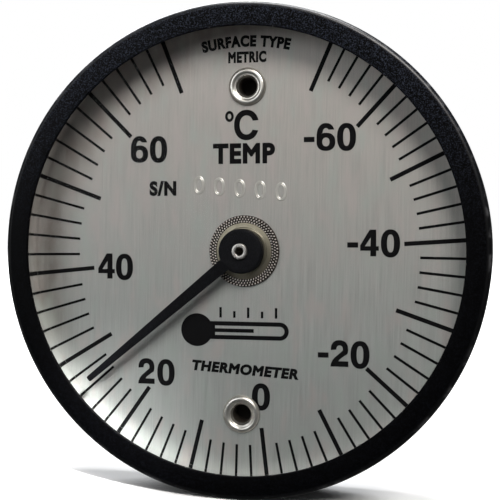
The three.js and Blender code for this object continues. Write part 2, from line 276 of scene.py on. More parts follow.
class Finish(Graph):
    """A material, with the few patterns that the finishes below share."""

    def __init__(self, name):
        self.material = bpy.data.materials.new(name)
        self.material.use_nodes = True
        super().__init__(self.material.node_tree)
        self.tree.nodes.clear()
        self.place = self.add("ShaderNodeTexCoord", None, None, "Object")
        self.parts = self.tree.nodes.new("ShaderNodeSeparateXYZ")
        self.tree.links.new(self.place.socket, self.parts.inputs[0])

    def x(self):
        return Wire(self, self.parts.outputs[0]) / MM

    def y(self):
        return Wire(self, self.parts.outputs[2]) / MM

    def height(self):
        return Wire(self, self.parts.outputs[1]) / -MM

    def radius(self, y=None):
        across, upward = self.x(), (self.y() if y is None else y)
        return (across * across + upward * upward).sum("SQRT", across * across + upward * upward)

    def noise(self, grain, detail=3.0, where=None):
        """Grey noise whose grain is this many millimetres along x, through and up."""
        scaled = self.add("ShaderNodeMapping", None, {
            "Vector": where or self.place, "Scale": tuple(1 / (g * MM) for g in grain),
        })
        return self.add("ShaderNodeTexNoise", None, {"Vector": scaled, "Scale": 1.0, "Detail": detail})

    def ramp(self, value, low, high, start=0.0, end=1.0):
        """A soft step from start to end while the value goes from low to high."""
        return self.add("ShaderNodeMapRange", {"interpolation_type": "SMOOTHSTEP"}, {
            "Value": value, "From Min": low, "From Max": high, "To Min": start, "To Max": end,
        })

    def blend(self, share, first, second):
        """A colour between two, which are colours or wires."""
        full = [c if isinstance(c, Wire) else (*c, 1.0) for c in (first, second)]
        return self.add("ShaderNodeMix", {"data_type": "RGBA"}, {0: share, 6: full[0], 7: full[1]}, 2)

    def bump(self, height, depth):
        """A normal from a pattern whose full depth is given in millimetres."""
        return self.add("ShaderNodeBump", None, {
            "Height": height, "Distance": depth * MM, "Strength": 1.0,
        })

    def surface(self, shader):
        self.add("ShaderNodeOutputMaterial", None, {"Surface": shader})
        return self.material

    def painted(self, colour, roughness, normal, metallic=0.0, **constants):
        sockets = {"Base Color": colour, "Roughness": roughness, "Normal": normal, "Metallic": metallic}
        sockets.update(constants)
        return self.surface(self.add("ShaderNodeBsdfPrincipled", None, sockets))


MATT = {"Specular IOR Level": 0.06}

# %% [markdown]
# The floor is a matt painted board: nearly white, with the faint cloudiness that such a board has. A
# white table throws a lot of light up at the dial and washes out the blacks, so this one is lit and
# seen but sends nothing on to the object.

# %% Finish of the floor
board = Finish("pale_board")
cloud = board.noise((60, 60, 60))
floor.data.materials.append(board.painted(
    board.blend(cloud, (0.9, 0.9, 0.9), (0.94, 0.94, 0.94)),
    board.ramp(cloud, 0.3, 0.7, 0.75, 0.9), board.bump(cloud, 0.02), **{"Specular IOR Level": 0.0},
))
floor.visible_diffuse = floor.visible_glossy = False

# %% [markdown]
# The case is sprayed satin black over drawn metal. The paint has a fine orange peel and a bluish
# speckle, painted much lighter at the top than below as sheen from the light above. Handling has
# polished its outer edge, which a thin coat stands for, and has rubbed it thin there. A few light
# specks are painted along the lip's sharp inner edge as glints.

# %% Finish of the case
lip = seat("case", above=case.front - 0.1)
paint = Finish("satin_black")
grain = paint.noise((0.11, 0.11, 0.11), 2.0)
patches = paint.noise((1.3, 1.3, 1.3))
from_axis, level = paint.radius(), paint.height()
# Painted sheen: the bluish speckle grows stronger towards the top, where the light from above falls.
speckle_and_top_sheen = paint.ramp(grain, 0.46, 0.72) * paint.ramp(paint.y(), 0.0, 21.0, 0.08, 1.0)
speckle_and_sheen_colour = paint.blend(speckle_and_top_sheen, (0.0006, 0.0006, 0.0008), (0.034, 0.040, 0.058))
rubbed = (
    paint.ramp(from_axis, case.outer - 0.42, case.outer - 0.12)
    * paint.ramp(level, case.front - 0.4, case.front - 0.1)
    * paint.ramp(patches, 0.5, 0.68, 0.0, 0.35)
)
# Painted glints: light specks in a bare metal colour along the lip's inner edge.
painted_glint_specks = (
    paint.ramp(from_axis, lip.inner + 0.1, lip.inner + 0.02)
    * paint.ramp(paint.noise((0.22, 0.22, 0.22)), 0.69, 0.73)
)
wear_and_painted_light = paint.blend(rubbed, speckle_and_sheen_colour, (0.22, 0.22, 0.23))
handled = (
    paint.ramp(from_axis, case.outer - 0.6, case.outer - 0.3) * paint.ramp(patches, 0.3, 0.7, 0.85, 1.0)
)
wear_and_painted_light = paint.blend(painted_glint_specks, wear_and_painted_light, (0.62, 0.6, 0.56))
satin_black = paint.painted(
    wear_and_painted_light, paint.ramp(grain, 0.3, 0.7, 0.34, 0.5), paint.bump(grain * 0.7 + patches * 0.3, 0.006),
    **MATT, **{"Coat Weight": handled, "Coat Roughness": 0.3},
)

# %% [markdown]
# The dial is a sheet of brushed aluminium under a thin clear lacquer. The brush ran up and down, so
# the streaks are very fine across and long along. The lacquer gives faint pink and green tints. The
# colour is painted warmer towards the top and cooler below, as a tint of the warm light from above,
# and near the rim on the upper left it is painted darker in wavy brown patches as shade.

# %% Finish of the dial
brushed = Finish("brushed_aluminium")
streaks = brushed.noise((0.15, 3.0, 6.0), 4.0)
hairlines = brushed.noise((0.05, 3.0, 5.0), 2.0)
clouds = brushed.noise((7.0, 7.0, 11.0))
tints = brushed.noise((1.7, 3.0, 4.5), 2.0)
# Painted light tint: the colour turns warmer towards the top, where the warm light falls, and cooler
# below.
painted_warm_tint_up = brushed.ramp(brushed.y(), -14.0, 16.0)
silver = brushed.blend(
    brushed.ramp(streaks, 0.2, 0.8) * 0.45 + hairlines * 0.35 + clouds * 0.2,
    brushed.blend(painted_warm_tint_up, (0.365, 0.375, 0.365), (0.385, 0.364, 0.35)),
    brushed.blend(painted_warm_tint_up, (0.595, 0.615, 0.60), (0.63, 0.592, 0.558)),
)
silver = brushed.blend(brushed.ramp(tints, 0.5, 0.72, 0.0, 0.5), silver, (0.57, 0.505, 0.49))
silver = brushed.blend(brushed.ramp(tints, 0.5, 0.28, 0.0, 0.45), silver, (0.47, 0.52, 0.485))
# Painted shade: wavy brown patches darken the rim on the upper left.
painted_rim_shade = (
    brushed.ramp(brushed.radius(), 18.0, 21.5)
    * brushed.ramp(brushed.x() * -0.8 + brushed.y() * 0.6, 8.0, 17.0)
    * brushed.ramp(brushed.noise((1.6, 3.0, 3.0)), 0.3, 0.7, 0.15, 0.5)
)
silver = brushed.blend(painted_rim_shade, silver, (0.22, 0.165, 0.14))
brushed_aluminium = brushed.painted(
    silver, brushed.ramp(streaks, 0.3, 0.7, 0.5, 0.6),
    brushed.bump(streaks * 0.6 + hairlines * 0.4, 0.003), 0.8,
)

# %% [markdown]
# The ink is a screen print: dense black, matt, and not quite even. The pointer is stamped and then
# sprayed black, with a finer speckle than the case has.

# %% Finishes in black
ink = Finish("black_ink")
weave = ink.noise((0.09, 0.09, 0.09))
black_ink = ink.painted(
    ink.blend(weave, (0.003, 0.003, 0.0035), (0.009, 0.009, 0.01)),
    ink.ramp(weave, 0.3, 0.7, 0.5, 0.7), ink.bump(weave, 0.003), **MATT,
)

spray = Finish("pointer_black")
droplets = spray.noise((0.09, 0.09, 0.09), 3.0)
pointer_black = spray.painted(
    spray.blend(spray.ramp(droplets, 0.35, 0.7), (0.006, 0.006, 0.0065), (0.012, 0.0125, 0.016)),
    spray.ramp(droplets, 0.3, 0.7, 0.48, 0.56), spray.bump(droplets, 0.002), **MATT,
)

# %% [markdown]
# Most of the metal parts differ only in colour, in how bright they are polished, and in which way the
# tool marks run. One function makes them: it mixes a clean and a dull tone through marks of a given
# grain, and it lays a dark, dull tone into whatever mask it is given, which on the eyelets is painted
# shade.

# %% Metals


def metal(name, clean, dull, roughness, marks, depth=0.004, dark_mask=None, dark_tone=(0.03, 0.024, 0.018)):
    """Bare metal with tool marks; a mask, given as a function of the finish, turns it dark and dull."""
    bare = Finish(name)
    lines = bare.noise(marks, 3.0)
    colour = bare.blend(bare.ramp(lines, 0.3, 0.7), dull, clean)
    rough = bare.ramp(lines, 0.3, 0.7, roughness + 0.08, roughness)
    shine = 1.0
    if dark_mask:
        mask = dark_mask(bare)
        # Inside the mask the colour darkens; on the eyelets this is painted shade.
        colour = bare.blend(mask, colour, dark_tone)
        rough = rough + mask * 0.3
        shine = 1.0 - mask * 0.7
    return bare.painted(colour, rough, bare.bump(lines, depth), shine)


wall_metal = metal(
    "bright_wall", (0.97, 0.965, 0.955), (0.91, 0.905, 0.895), 0.09, (5.0, 0.07, 5.0), 0.001,
)
# Painted highlight: the struck burrs are a brighter, less metallic copy of the dial's aluminium.
struck = Finish("struck_aluminium")
scuffs = struck.noise((0.12, 0.12, 0.12))
struck_aluminium = struck.painted(
    struck.blend(scuffs, (0.60, 0.58, 0.55), (0.76, 0.74, 0.70)),
    struck.ramp(scuffs, 0.3, 0.7, 0.3, 0.42), struck.bump(scuffs, 0.004), 0.6,
)
rear_metal = metal("mill_aluminium", (0.62, 0.62, 0.63), (0.47, 0.47, 0.48), 0.36, (0.12, 0.5, 6.0))
zinc_steel = metal("zinc_plate", (0.60, 0.61, 0.63), (0.44, 0.45, 0.47), 0.33, (0.5, 0.5, 0.5), 0.01)
staff_metal = metal(
    "staff_steel", (0.80, 0.77, 0.73), (0.63, 0.60, 0.57), 0.26, (0.14, 0.14, 0.14), 0.01,
)
brass = metal("turned_brass", (0.72, 0.52, 0.24), (0.50, 0.35, 0.15), 0.32, (0.3, 0.08, 0.3))
bimetal = metal("bimetal_strip", (0.50, 0.43, 0.35), (0.33, 0.28, 0.23), 0.38, (2.0, 0.1, 2.0))

# %% [markdown]
# The eyelets and the centre bushing are nickel plated. The flange of the bushing is a darker,
# browner copy of the nickel, as painted shade, and its knurl a brighter, pinker copy, as painted
# highlight. Each eyelet's hole is painted darker deeper down as shade, and its outer edge is darker;
# the bushing turns darker and duller low down between the knurl's teeth. So the masks follow the
# height and the distance from each part's own axis. The two eyelets are one above and one below the
# centre, so the mask takes the upward coordinate without its sign.

# %% Nickel
eyelet = seat("upper_eyelet")
bushing = seat("center_bushing")
flange = seat("center_bushing", above=bushing.front - 0.05)
BROWN_GROOVE_TONE = (0.03, 0.018, 0.013)


# Painted shade: the hole grows darker deeper down; the outer edge is darker too.
def eyelet_hole_shade_and_edge(bare):
    unsigned = bare.y().sum("ABSOLUTE", bare.y())
    from_hole = bare.radius(unsigned - abs(eyelet.y))
    inside = bare.ramp(from_hole, eyelet.inner + 0.12, eyelet.inner + 0.02)
    deep = bare.ramp(bare.height(), eyelet.front - 0.12, eyelet.front - 0.5)
    at_edge = bare.ramp(from_hole, eyelet.outer - 0.09, eyelet.outer, 0.0, 0.5)
    return at_edge.sum("MAXIMUM", inside * deep, at_edge)


# Darker and duller lower down, between the knurl's teeth and on the flange's bed.
def knurl_groove_darkening(bare):
    groove = bare.ramp(bare.height(), bushing.front - 0.01, bushing.front - 0.07)
    return groove * bare.ramp(bare.radius(), flange.inner - 0.06, flange.inner + 0.02, 0.12, 1.0)


eyelet_nickel = metal(
    "eyelet_nickel", (0.90, 0.87, 0.82), (0.80, 0.76, 0.70), 0.3, (0.9, 0.9, 0.9), 0.003, eyelet_hole_shade_and_edge,
)
# Painted shade: the flange is a darker, browner copy of the nickel that plates the eyelets.
bushing_nickel = metal(
    "bushing_nickel", (0.42, 0.385, 0.30), (0.34, 0.31, 0.24), 0.36, (1.6, 1.6, 1.6), 0.004,
    knurl_groove_darkening, BROWN_GROOVE_TONE,
)
# Painted highlight: the knurl is a brighter, pinker copy of the same nickel.
knurl_nickel = metal(
    "knurl_nickel", (1.0, 0.93, 0.88), (0.95, 0.85, 0.79), 0.34, (0.3, 0.3, 0.3), 0.004,
    knurl_groove_darkening, BROWN_GROOVE_TONE,
)

# %% [markdown]
# The magnets are pressed ceramic, dark and chalky with pores. The gaskets are black rubber. The
# crystal is a plain glass disc: straight through it is clear, and only its gloss shows. Mixing a
# transparent and a glossy shader by the Fresnel law gives that without bending the view, which keeps
# the dial sharp and lets the light through to it.

# %% Ceramic, rubber and glass
ceramic = Finish("magnet_ceramic")
pores = ceramic.noise((0.35, 0.35, 0.35), 6.0)
magnet_ceramic = ceramic.painted(
    ceramic.blend(ceramic.ramp(pores, 0.35, 0.7), (0.022, 0.022, 0.024), (0.07, 0.068, 0.07)),
    ceramic.ramp(pores, 0.3, 0.7, 0.8, 0.55), ceramic.bump(pores, 0.03),
)
rubber = Finish("gasket_rubber")
pits = rubber.noise((0.2, 0.2, 0.2), 4.0)
gasket_rubber = rubber.painted(
    rubber.blend(pits, (0.012, 0.012, 0.012), (0.03, 0.03, 0.03)),
    rubber.ramp(pits, 0.3, 0.7, 0.6, 0.85), rubber.bump(pits, 0.01),
)
glass = Finish("clear_glass")
smudges = glass.noise((9.0, 9.0, 9.0))
gloss = glass.add("ShaderNodeBsdfGlossy", None, {
    "Color": (1, 1, 1, 1), "Roughness": glass.ramp(smudges, 0.45, 0.7, 0.02, 0.09),
})
clear = glass.add("ShaderNodeBsdfTransparent", None, {"Color": (0.985, 0.99, 0.988, 1)})
share = glass.add("ShaderNodeFresnel", None, {"IOR": 1.09})
clear_glass = glass.surface(glass.add("ShaderNodeMixShader", None, {0: share, 1: clear, 2: gloss}))
print(len(bpy.data.materials), "materials so far")

# %% [markdown]
# ## Turned pieces
# Nearly every part of a gauge is turned on a lathe, so one function does what the lathe does: it
# takes half of a cross section and spins it. The model draws its circles with few sides, and these
# pieces have many, so that rims and highlights run smoothly. Corners are given with a rounding,
# because no edge on the real part is sharp enough to show no highlight.

# %% The lathe
LARGE, MEDIUM, SMALL = 288, 128, 96


def rounded(corners, steps=5):
    """An outline whose corners are (radius, height, rounding)."""
    points = []
    for i, (radius, height, rounding) in enumerate(corners):
        corner = Vector((radius, height))
        if not rounding:
            points.append(tuple(corner))
            continue
        to_last = (Vector(corners[i - 1][:2]) - corner).normalized()
        to_next = (Vector(corners[(i + 1) % len(corners)][:2]) - corner).normalized()
        half = to_last.angle(to_next) / 2
        middle = corner + (to_last + to_next).normalized() * (rounding / math.sin(half))
        start = corner + to_last * (rounding / math.tan(half)) - middle
        end = corner + to_next * (rounding / math.tan(half)) - middle
        sweep = start.angle(end)
        for k in range(steps + 1):
            share_of_turn = k / steps
            first = math.sin((1 - share_of_turn) * sweep) / math.sin(sweep)
            second = math.sin(share_of_turn * sweep) / math.sin(sweep)
            points.append(tuple(middle + start * first + end * second))
    return points


def made(name, bm, material, body, slot, *nodes, crease=32):
    """A finished piece from a mesh: faces out, smooth but for its creases, riding on its body."""
    bmesh.ops.remove_doubles(bm, verts=bm.verts, dist=1e-7)
    bmesh.ops.recalc_face_normals(bm, faces=bm.faces)
    mesh = bpy.data.meshes.new(name)
    bm.to_mesh(mesh)
    bm.free()
    mesh.polygons.foreach_set("use_smooth", [True] * len(mesh.polygons))
    mesh.set_sharp_from_angle(angle=math.radians(crease))
    mesh.materials.clear()
    mesh.materials.append(material)
    obj = bpy.data.objects.new(name, mesh)
    scene.collection.objects.link(obj)
    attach(obj, body)
    if nodes:
        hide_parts(*nodes)
    print(f"{name}: {len(mesh.polygons)} faces")
    return obj


def spun(outline, x=0.0, y=0.0, steps=MEDIUM):
    """The mesh of a closed outline spun about an axis through x, y on the face."""
    bm = bmesh.new()
    rings = []
    for radius, height in outline:
        angles = [math.tau * i / steps for i in range(1 if radius < 1e-6 else steps)]
        rings.append([
            bm.verts.new(at(x + radius * math.sin(a), y + radius * math.cos(a), height)) for a in angles
        ])
    for one, other in zip(rings, rings[1:] + rings[:1]):
        if len(one) == len(other) == 1:
            continue
        for i in range(steps):
            j = (i + 1) % steps
            loop = [one[i % len(one)], one[j % len(one)], other[j % len(other)], other[i % len(other)]]
            bm.faces.new(list(dict.fromkeys(loop)))
    return bm


# %% [markdown]
# The case is drawn from one sheet. Its lip is turned in over the crystal and its rear edge is rolled
# in behind the back plate. The inner edge of the lip is thin and only just broken, which is why it
# catches a fine line of light.

# %% The case
FACE_GAP, SLIP_FIT = 0.02, 0.05
roll = seat("case", below=case.back + 0.1)
wall = crystal.outer + SLIP_FIT


def edge_heights(radius):
    """The heights of the case's corners that lie on an inner edge of this radius."""
    corners = [v.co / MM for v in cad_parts["case"].data.vertices]
    return [-c.y for c in corners if math.hypot(c.x, c.z) < radius + 0.01]


lip_back = min(height for height in edge_heights(lip.inner) if height > case.front - 0.45)
roll_front = max(height for height in edge_heights(roll.inner) if height < case.back + 0.6)
print(f"lip {case.front - lip_back:.2f} mm thick, rolled edge {roll_front - case.back:.2f} mm")
case_outline = rounded([
    (roll.inner, case.back, 0.12), (case.outer, case.back, 0.5), (case.outer, case.front, 0.5),
    (lip.inner, case.front, 0.12), (lip.inner, lip_back, 0.06), (wall, lip_back, 0.1),
    (wall, roll_front, 0.1), (roll.inner, roll_front, 0.12),
])
made("case_shell", spun(case_outline, steps=LARGE), satin_black, "housing", "case", "case")


# %% [markdown]
# Behind the lip come a thin gasket, the crystal, and the bright ring that spaces the crystal off the
# dial. The inside of that ring is the light band that shows between the dial and the lip.

# %% Crystal, gasket and rings


def plain_ring(name, node, material, slot, rounding, steps=LARGE):
    """A ring, or a disc where the part has no hole, in the seat of a node."""
    part = seat(node)
    solid = node in ("crystal", "sensing_plate")
    inner, inner_rounding = (0.0, 0.0) if solid else (part.inner, rounding)
    outline = rounded([
        (inner, part.back, inner_rounding), (part.outer, part.back, rounding),
        (part.outer, part.front, rounding), (inner, part.front, inner_rounding),
    ])
    made(name, spun(outline, part.x, part.y, steps), material, "housing", slot, node)


plain_ring("crystal_disc", "crystal", clear_glass, "glass", 0.08)
plain_ring("front_gasket", "crystal_gasket", gasket_rubber, "seal", 0.03)
plain_ring("wall_ring", "spacer_ring", wall_metal, "bright_ring", 0.05)
plain_ring("rear_ring", "rear_spacer_ring", rear_metal, "plain_aluminium", 0.05)
plain_ring("rear_gasket", "back_seal", gasket_rubber, "seal", 0.03)
plain_ring("contact_plate", "sensing_plate", rear_metal, "plain_aluminium", 0.08, MEDIUM)
for side in ("upper", "lower"):
    plain_ring(f"{side}_magnet_ring", f"{side}_magnet", magnet_ceramic, "magnet", 0.1, MEDIUM)

# %% [markdown]
# A magnet cup is a pressed steel pot. Its rim stands at the contact face and takes the scratches, and
# its floor has the hole for the eyelet.

# %% Magnet cups
for side in ("upper", "lower"):
    cup, magnet = seat(f"{side}_magnet_cup"), seat(f"{side}_magnet")
    pot_wall, pot_floor = magnet.outer + SLIP_FIT, magnet.front + FACE_GAP
    cup_outline = rounded([
        (pot_wall, cup.back, 0.12), (cup.outer, cup.back, 0.15), (cup.outer, cup.front, 0.5),
        (cup.inner, cup.front, 0.08), (cup.inner, pot_floor, 0.08), (pot_wall, pot_floor, 0.2),
    ])
    made(
        f"{side}_magnet_pot", spun(cup_outline, cup.x, cup.y, MEDIUM), zinc_steel, "housing",
        "zinc_steel", f"{side}_magnet_cup",
    )

# %% [markdown]
# An eyelet is a thin tube rolled over at both ends. At the front the roll stands up as a bright bead,
# falls into a shallow groove, and rises to a second, finer bead at the hole. The outline below walks
# over those in order. A thin floor closes the rear end, so that the hole stays dark when no surface
# stands behind the case.

# %% Eyelets
for side in ("upper", "lower"):
    part = seat(f"{side}_eyelet")
    shank = seat(f"{side}_spacer_tube").inner - SLIP_FIT
    seat_height = dial.front + FACE_GAP
    rear = seat(f"{side}_magnet").front
    rear_roll = seat(f"{side}_eyelet", below=rear - SLIP_FIT).outer
    eyelet_outline = [
        (0.0, part.back), (rear_roll, part.back), (rear_roll, rear - FACE_GAP),
        (shank, rear - FACE_GAP), (shank, seat_height), (part.outer, seat_height),
    ]
    bead = [
        (0.0, 0.06), (0.02, 0.13), (0.07, 0.22), (0.15, 0.31), (0.26, 0.38), (0.38, 0.41),
        (0.50, 0.385), (0.59, 0.33), (0.65, 0.28), (0.70, 0.265), (0.75, 0.27), (0.81, 0.25),
        (0.87, 0.18), (0.905, 0.05),
    ]
    eyelet_outline += [(part.outer - inward, seat_height + rise) for inward, rise in bead]
    eyelet_outline += [
        (part.inner, seat_height - 0.25), (part.inner, part.back + 0.3), (0.0, part.back + 0.25),
    ]
    made(
        f"{side}_rolled_eyelet", spun(eyelet_outline, part.x, part.y, SMALL), eyelet_nickel, "housing",
        "eyelet", f"{side}_eyelet", crease=50,
    )

# %% [markdown]
# ## The centre bushing
# The bushing is a dished flange with a knurled rim. The dish is turned. The knurl is three staggered
# rows of small pyramids, sixty-eight to a row, and such a rule is what Geometry Nodes are for: the tree
# counts the teeth out by their index and sets a four-sided cone at each place. A shallow bed under
# the teeth lets the darker tone between them show.

# %% Turn the bushing
COLLAR_RADIUS, COLLAR_HEIGHT, DISH_DEPTH, NECK_RADIUS = 2.5, 0.2, 0.12, 1.9
dish_floor = bushing.front - DISH_DEPTH
flange_back = dial.front + FACE_GAP
bushing_outline = rounded([
    (bushing.inner, bushing.back, 0.03), (NECK_RADIUS, bushing.back, 0.05),
    (NECK_RADIUS, flange_back, 0.0),
    (flange.outer, flange_back, 0.03), (flange.outer, bushing.front - 0.16, 0.05),
    (flange.inner, bushing.front - 0.17, 0.0), (flange.inner - 0.05, bushing.front - 0.08, 0.02),
    (COLLAR_RADIUS + 0.02, bushing.front - 0.02, 0.03),
    (COLLAR_RADIUS - 0.08, dish_floor + COLLAR_HEIGHT, 0.07),
    (COLLAR_RADIUS - 0.5, dish_floor + COLLAR_HEIGHT, 0.07), (bushing.inner, dish_floor, 0.03),
])
made(
    "bushing_flange", spun(bushing_outline, steps=MEDIUM), bushing_nickel, "housing", "nickel",
    "center_bushing",
)

# %% A tree of geometry nodes with named inputs


class Pattern(Graph):
    """A geometry tree whose inputs are named, and which ends in one mesh of one material."""

    kinds = {
        int: "NodeSocketInt", float: "NodeSocketFloat", bpy.types.Material: "NodeSocketMaterial",
    }

    def __init__(self, name, **inputs):
        super().__init__(bpy.data.node_groups.new(name, "GeometryNodeTree"))
        self.name, self.values = name, {}
        for label, value in inputs.items():
            kind = self.kinds[type(value)]
            socket = self.tree.interface.new_socket(label, in_out="INPUT", socket_type=kind)
            self.values[socket.identifier] = value
        self.tree.interface.new_socket("Geometry", in_out="OUTPUT", socket_type="NodeSocketGeometry")
        self.given = self.tree.nodes.new("NodeGroupInput")

    def __getitem__(self, label):
        return Wire(self, self.given.outputs[label])

    def vector(self, x, y, z):
        return self.add("ShaderNodeCombineXYZ", None, {0: x, 1: y, 2: z})

    def turned_about_z(self, angle):
        return self.add("FunctionNodeEulerToRotation", None, {0: self.vector(0.0, 0.0, angle)})

    def repeat(self, count, position, shape, rotation, scale, material):
        """Sets a shape at each place, and ends the tree."""
        points = self.add("GeometryNodePoints", None, {"Count": count, "Position": position})
        placed = self.add("GeometryNodeInstanceOnPoints", None, {
            "Points": points, "Instance": shape, "Rotation": rotation, "Scale": scale,
        })
        whole = self.add("GeometryNodeRealizeInstances", None, {0: placed})
        painted = self.add("GeometryNodeSetMaterial", None, {"Geometry": whole, "Material": material})
        self.add("NodeGroupOutput", None, {0: painted})

    def mesh(self):
        """What the tree makes, in the frame."""
        carrier = bpy.data.objects.new(self.name, bpy.data.meshes.new(self.name))
        scene.collection.objects.link(carrier)
        modifier = carrier.modifiers.new(self.name, "NODES")
        modifier.node_group = self.tree
        for identifier, value in self.values.items():
            modifier[identifier] = value
        return to_frame(carrier)


def to_frame(carrier):
    """The evaluated shape of an object drawn on the face, as a mesh in the frame; the object goes."""
    shown = carrier.evaluated_get(bpy.context.evaluated_depsgraph_get())
    mesh = bpy.data.meshes.new_from_object(shown)
    bpy.data.objects.remove(carrier)
    mesh.transform(FACE_TO_FRAME)
    bm = bmesh.new()
    bm.from_mesh(mesh)
    bpy.data.meshes.remove(mesh)
    return bm


# %% Knurl the rim
TOOTH_LEAN = -0.4
knurl = Pattern(
    "knurl", Rows=3, Teeth_per_row=68, First_radius=flange.inner + 0.10, Row_pitch=0.25,
    Tooth_width=0.125, Tooth_length=0.17, Tooth_height=0.18, Bed=bushing.front - 0.16,
    Metal=knurl_nickel,
)
tooth = knurl.add("GeometryNodeInputIndex")
row = (tooth / knurl["Teeth_per_row"]).sum("FLOOR", tooth / knurl["Teeth_per_row"])
step_round = (tooth + row * 0.5) * math.tau / knurl["Teeth_per_row"]
tooth_radius = knurl["First_radius"] + row * knurl["Row_pitch"]
pyramid = knurl.add("GeometryNodeMeshCone", None, {
    "Vertices": 4, "Radius Top": 0.62, "Radius Bottom": 1.0, "Depth": 1.0,
})
knurl.repeat(
    knurl["Rows"] * knurl["Teeth_per_row"],
    knurl.vector(
        tooth_radius * step_round.sum("SINE", step_round),
        tooth_radius * step_round.sum("COSINE", step_round), knurl["Bed"],
    ),
    pyramid, knurl.turned_about_z(step_round * -1.0 + TOOTH_LEAN),
    knurl.vector(knurl["Tooth_width"], knurl["Tooth_length"], knurl["Tooth_height"]), knurl["Metal"],
)
made("bushing_knurl", knurl.mesh(), knurl_nickel, "housing", "nickel", crease=20)

# %% [markdown]
# ## The scale
# The ticks follow a rule too, though not a plain circle. Readings go round clockwise, a little faster
# at the warm end, because the coil is not quite even. The inner ends of the ticks lie on an oval, all
# the lines run out to the edge of the dial, and every fifth tick is long and bold. The tree works each
# one out from its index and lays down a thin bar of ink.

# %% Print the ticks
INK = 0.014
PRINT_TURN = math.radians(1.08)
scale_print = Pattern(
    "scale_ticks", Ticks=71, First_reading=-70.0, Reading_step=2.0, Long_every=5,
    Angle_at_zero=173.37, Angle_per_degree=2.2228, Angle_curve=0.0015, Oval_across=18.38,
    Oval_up=20.24, Oval_x=-0.10, Oval_y=-0.21, Long_share=0.9137, Meet_x=-0.28, Meet_y=-0.28,
    Rim=seat("spacer_ring").inner, Long_width=0.44, Short_width=0.27, Ink_height=INK,
    Face=dial.front, Ink=black_ink,
)
given = scale_print
tick = given.add("GeometryNodeInputIndex")
reading = given["First_reading"] + tick * given["Reading_step"]
curved = reading * given["Angle_per_degree"] + reading * reading * given["Angle_curve"]
degrees = given["Angle_at_zero"] + curved
bearing = degrees * (math.pi / 180)
is_long = tick.sum("LESS_THAN", tick.sum("MODULO", tick, given["Long_every"]), 0.5)
reach = 1.0 - is_long * (1.0 - given["Long_share"])
inner_x = given["Oval_x"] + given["Oval_across"] * reach * bearing.sum("SINE", bearing)
inner_y = given["Oval_y"] + given["Oval_up"] * reach * bearing.sum("COSINE", bearing)
out_x, out_y = inner_x - given["Meet_x"], inner_y - given["Meet_y"]
inner_end = out_x.sum("SQRT", out_x * out_x + out_y * out_y)
along_x, along_y = out_x / inner_end, out_y / inner_end
lean = given["Meet_x"] * along_x + given["Meet_y"] * along_y
off_centre = given["Meet_x"] * given["Meet_x"] + given["Meet_y"] * given["Meet_y"]
outer_end = lean.sum("SQRT", lean * lean - off_centre + given["Rim"] * given["Rim"]) - lean
halfway = (inner_end + outer_end) * 0.5
width = given["Short_width"] + is_long * (given["Long_width"] - given["Short_width"])
bar = given.add("GeometryNodeMeshCube", None, {"Size": (1.0, 1.0, 1.0)})
given.repeat(
    given["Ticks"],
    given.vector(
        given["Meet_x"] + along_x * halfway, given["Meet_y"] + along_y * halfway,
        given["Face"] + given["Ink_height"] * 0.5,
    ),
    bar, given.turned_about_z(along_y.sum("ARCTAN2", along_y, along_x)),
    given.vector(outer_end - inner_end, width, given["Ink_height"]), given["Ink"],
)
ON_PLATE = Matrix.Rotation(-PRINT_TURN, 4, "Y")


def printed(name, bm, crease=32):
    """A piece of ink, turned with the rest of the print on its plate."""
    bmesh.ops.transform(bm, matrix=ON_PLATE, verts=bm.verts)
    made(name, bm, black_ink, "housing", "dial", crease=crease)


printed("scale_ticks", scale_print.mesh(), crease=30)

# %% [markdown]
# ## Numerals
# The numerals are a heavy plain sans serif. Each figure is a closed outline with holes, drawn here
# from rounded ovals and straight cuts. A flat curve fills outlines and knows a hole when it sees one,
# and its extrusion gives the ink a real thickness. The print as a whole sits about a degree round
# from the line of the two eyelets, so every outline goes through the same small turn.

# %% Outlines of the figures
FIGURE_WIDTH, FIGURE_HEIGHT = 1.95, 2.86


def oval(half_width, half_height, fullness=2.3, x=0.0, y=0.0, start=0, end=360, steps=64):
    """Points of an oval, anticlockwise from the right; fullness above 2 squares it."""
    points = []
    count = max(4, round(steps * abs(end - start) / 360))
    for i in range(count + (abs(end - start) < 360)):
        angle = math.radians(start + (end - start) * i / count)
        across, upward = math.cos(angle), math.sin(angle)
        points.append((
            x + half_width * math.copysign(abs(across) ** (2 / fullness), across),
            y + half_height * math.copysign(abs(upward) ** (2 / fullness), upward),
        ))
    return points


wide, tall = FIGURE_WIDTH / 2, FIGURE_HEIGHT / 2
zero = [oval(wide, tall), oval(0.345, 0.91, 2.5)]
six = [
    oval(wide, tall, start=28, end=180)
    + oval(wide, 0.93, y=-0.5, start=180, end=475)
    + oval(0.385, 0.92, y=0.0, start=155, end=52),
    oval(0.375, 0.45, 2.2, y=-0.51),
]
four = [
    [(0.02, 1.36), (0.69, 1.36), (0.69, -0.33), (0.95, -0.33), (0.95, -0.79), (0.69, -0.79),
     (0.69, -1.36), (0.09, -1.36), (0.09, -0.79), (-0.95, -0.79), (-0.95, -0.24)],
    [(0.12, 0.55), (0.10, -0.33), (-0.46, -0.33)],
]
two = [
    oval(0.90, 0.95, y=0.43, start=184, end=-28)
    + [(0.55, -0.20), (0.25, -0.44), (0.02, -0.62), (-0.10, -0.80), (0.92, -0.80), (0.92, -1.37),
       (-0.94, -1.37), (-0.90, -1.08), (-0.76, -0.75), (-0.52, -0.44), (-0.15, -0.12), (0.20, 0.18)]
    + oval(0.33, 0.40, x=0.01, y=0.43, start=-18, end=184),
]
minus = [[(-0.56, -0.27), (0.56, -0.27), (0.56, 0.27), (-0.56, 0.27)]]
degree = [oval(0.47, 0.58, 2.0), oval(0.19, 0.28, 2.0)]
